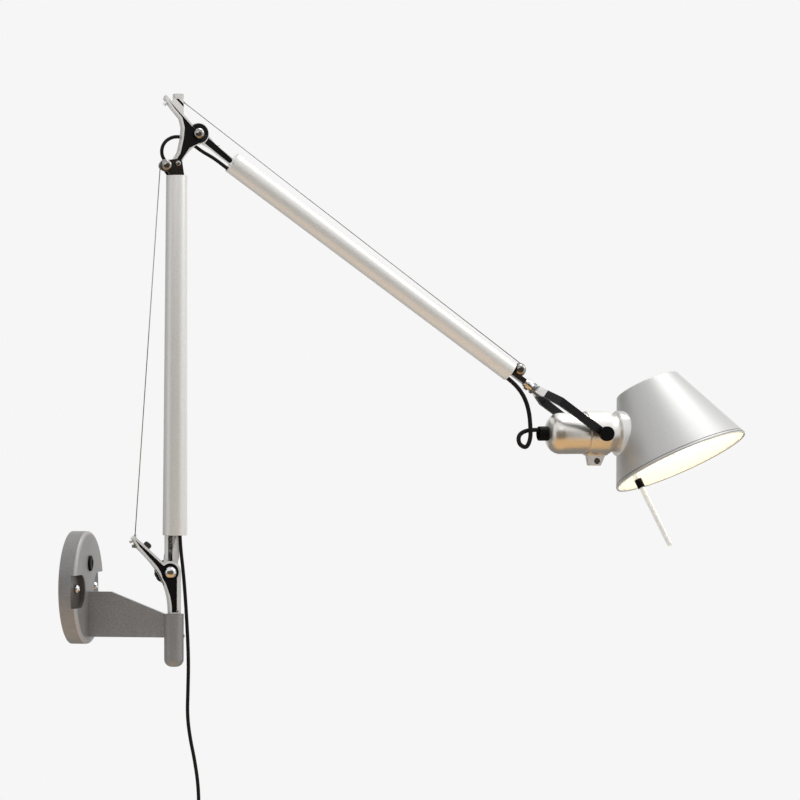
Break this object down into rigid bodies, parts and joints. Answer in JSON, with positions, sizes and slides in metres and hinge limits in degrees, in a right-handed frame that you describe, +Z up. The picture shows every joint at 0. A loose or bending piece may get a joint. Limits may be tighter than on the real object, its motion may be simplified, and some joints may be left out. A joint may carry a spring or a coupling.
{
  "type": "articulating wall lamp",
  "caption": "Spring-balanced two-arm wall lamp with a round wall plate, satin tubes, balance wires, a conical shade and a trailing black cord.",
  "frame": {"origin": "centre of the wall plate's back face", "axes": "+X out of the wall, +Z up, +Y to the left when facing the wall from the front"},
  "size_m": [0.8154, 0.4547, 1.0556],
  "materials": {
    "wall_paint": "fine textured silver grey paint",
    "satin_silver": "satin anodised",
    "polished_cast": "polished casting with blackened recesses",
    "chrome": "polished",
    "steel": "drawn wire and plain steel",
    "black_plastic": "matte",
    "bush_plastic": "natural nylon",
    "black_rubber": "matte",
    "yoke_black": "textured black",
    "yoke_grey": "satin",
    "shade_metal": "satin silver outside, white inside",
    "ceramic": "glazed",
    "bulb_glass": "frosted, lit"
  },
  "bodies": {
    "wall": {"wall_bracket": "wall_paint", "cable_grommet": "black_plastic", "socket_bush": "bush_plastic", "set_screw": "chrome"},
    "base": {"base_pin": "steel", "base_cross_pin": "steel", "base_lever": "polished_cast", "base_rubber_stop": "black_rubber", "lower_adjuster": "steel", "base_tip_screw": "steel", "lower_wire": "steel", "free_cord": "black_rubber", "cord_coil": "black_rubber", "cord_tie": "black_plastic", "cord_plug": "black_plastic", "plug_pins": "steel"},
    "lower_arm": {"lower_fork": "polished_cast", "fork_rivet": "chrome", "lower_tube": "satin_silver", "lower_pivot_bolt": "chrome", "lower_top_fitting": "polished_cast", "lower_pulley_bolt": "chrome", "joint_bolt": "chrome", "lower_spring": "steel", "elbow_casting": "polished_cast", "elbow_pads": "black_rubber", "anchor_plate": "yoke_grey", "upper_wire_anchor": "steel", "elbow_tip_screw": "steel", "upper_pivot_bolt": "chrome", "elbow_cable": "black_rubber", "upper_wire": "steel"},
    "friction_knob": {"lower_friction_knob": "black_plastic"},
    "lower_pulley_body": {"lower_pulley": "black_plastic"},
    "upper_arm": {"upper_fork": "polished_cast", "upper_fork_screw": "steel", "upper_tube": "satin_silver", "far_fitting": "polished_cast", "upper_pulley_bolt": "chrome", "upper_spring": "steel", "swivel_knuckle": "chrome", "swivel_pin": "steel"},
    "upper_pulley_body": {"upper_pulley": "black_plastic"},
    "yoke_body": {"yoke": "yoke_black", "yoke_hub": "yoke_grey", "head_cable": "black_rubber"},
    "clamp_body": {"clamp_ring": "satin_silver", "clamp_screw": "chrome", "tilt_studs": "steel"},
    "knob_near": {"head_knob_near": "black_plastic"},
    "knob_far": {"head_knob_far": "black_plastic"},
    "lamp": {"housing": "satin_silver", "cable_gland": "black_plastic", "shade_flange": "satin_silver", "ring_nut": "satin_silver", "lampholder_insert": "ceramic", "bulb": "bulb_glass", "shade": "shade_metal", "handle_rod": "chrome", "handle_ferrule": "black_plastic"}
  },
  "joints": [
    {"name": "base_swivel", "type": "hinge", "parent": "wall", "child": "base", "pos_m": [0.13, 0, 0], "axis": [0, 0, 1], "range_deg": [-115, 61]},
    {"name": "lower_tilt", "type": "hinge", "parent": "base", "child": "lower_arm", "pos_m": [0.12421, -0.00295, 0.02], "axis": [-0.454, 0.891, 0], "range_deg": [-22, 60], "deforming": ["lower_wire", "free_cord"]},
    {"name": "friction_knob_turn", "type": "hinge", "parent": "lower_arm", "child": "friction_knob", "pos_m": [0.12421, -0.00295, 0.02], "axis": [-0.454, 0.891, 0], "range_deg": [-180, 180]},
    {"name": "lower_pulley_turn", "type": "hinge", "parent": "lower_arm", "child": "lower_pulley_body", "pos_m": [0.11975, -0.00522, 0.5267], "axis": [-0.454, 0.891, 0], "range_deg": [-432, 160]},
    {"name": "elbow_tilt", "type": "hinge", "parent": "lower_arm", "child": "upper_arm", "pos_m": [0.15691, 0.01371, 0.567], "axis": [-0.454, 0.891, 0], "range_deg": [-60, 40], "deforming": ["upper_wire", "elbow_cable"]},
    {"name": "upper_pulley_turn", "type": "hinge", "parent": "upper_arm", "child": "upper_pulley_body", "pos_m": [0.53448, 0.20609, 0.27336], "axis": [-0.454, 0.891, 0], "range_deg": [-115, 171]},
    {"name": "head_swivel", "type": "hinge", "parent": "upper_arm", "child": "yoke_body", "pos_m": [0.54503, 0.21147, 0.25429], "axis": [0.7267, 0.3703, -0.5786], "range_deg": [-90, 90]},
    {"name": "head_tilt", "type": "hinge", "parent": "yoke_body", "child": "clamp_body", "pos_m": [0.6267, 0.25308, 0.19148], "axis": [-0.454, 0.891, 0], "range_deg": [-60, 30], "deforming": ["head_cable"]},
    {"name": "knob_near_turn", "type": "hinge", "parent": "clamp_body", "child": "knob_near", "pos_m": [0.6267, 0.25308, 0.19148], "axis": [-0.454, 0.891, 0], "range_deg": [-180, 180]},
    {"name": "knob_far_turn", "type": "hinge", "parent": "clamp_body", "child": "knob_far", "pos_m": [0.6267, 0.25308, 0.19148], "axis": [-0.454, 0.891, 0], "range_deg": [-180, 180]},
    {"name": "lampholder_turn", "type": "hinge", "parent": "clamp_body", "child": "lamp", "pos_m": [0.6267, 0.25308, 0.19148], "axis": [0.891, 0.454, 0], "range_deg": [-90, 90]}
  ],
  "couplings": [
    {"joint": "lower_pulley_turn", "follows": "lower_tilt", "ratio": -7.1},
    {"joint": "upper_pulley_turn", "follows": "elbow_tilt", "ratio": -2.84}
  ]
}
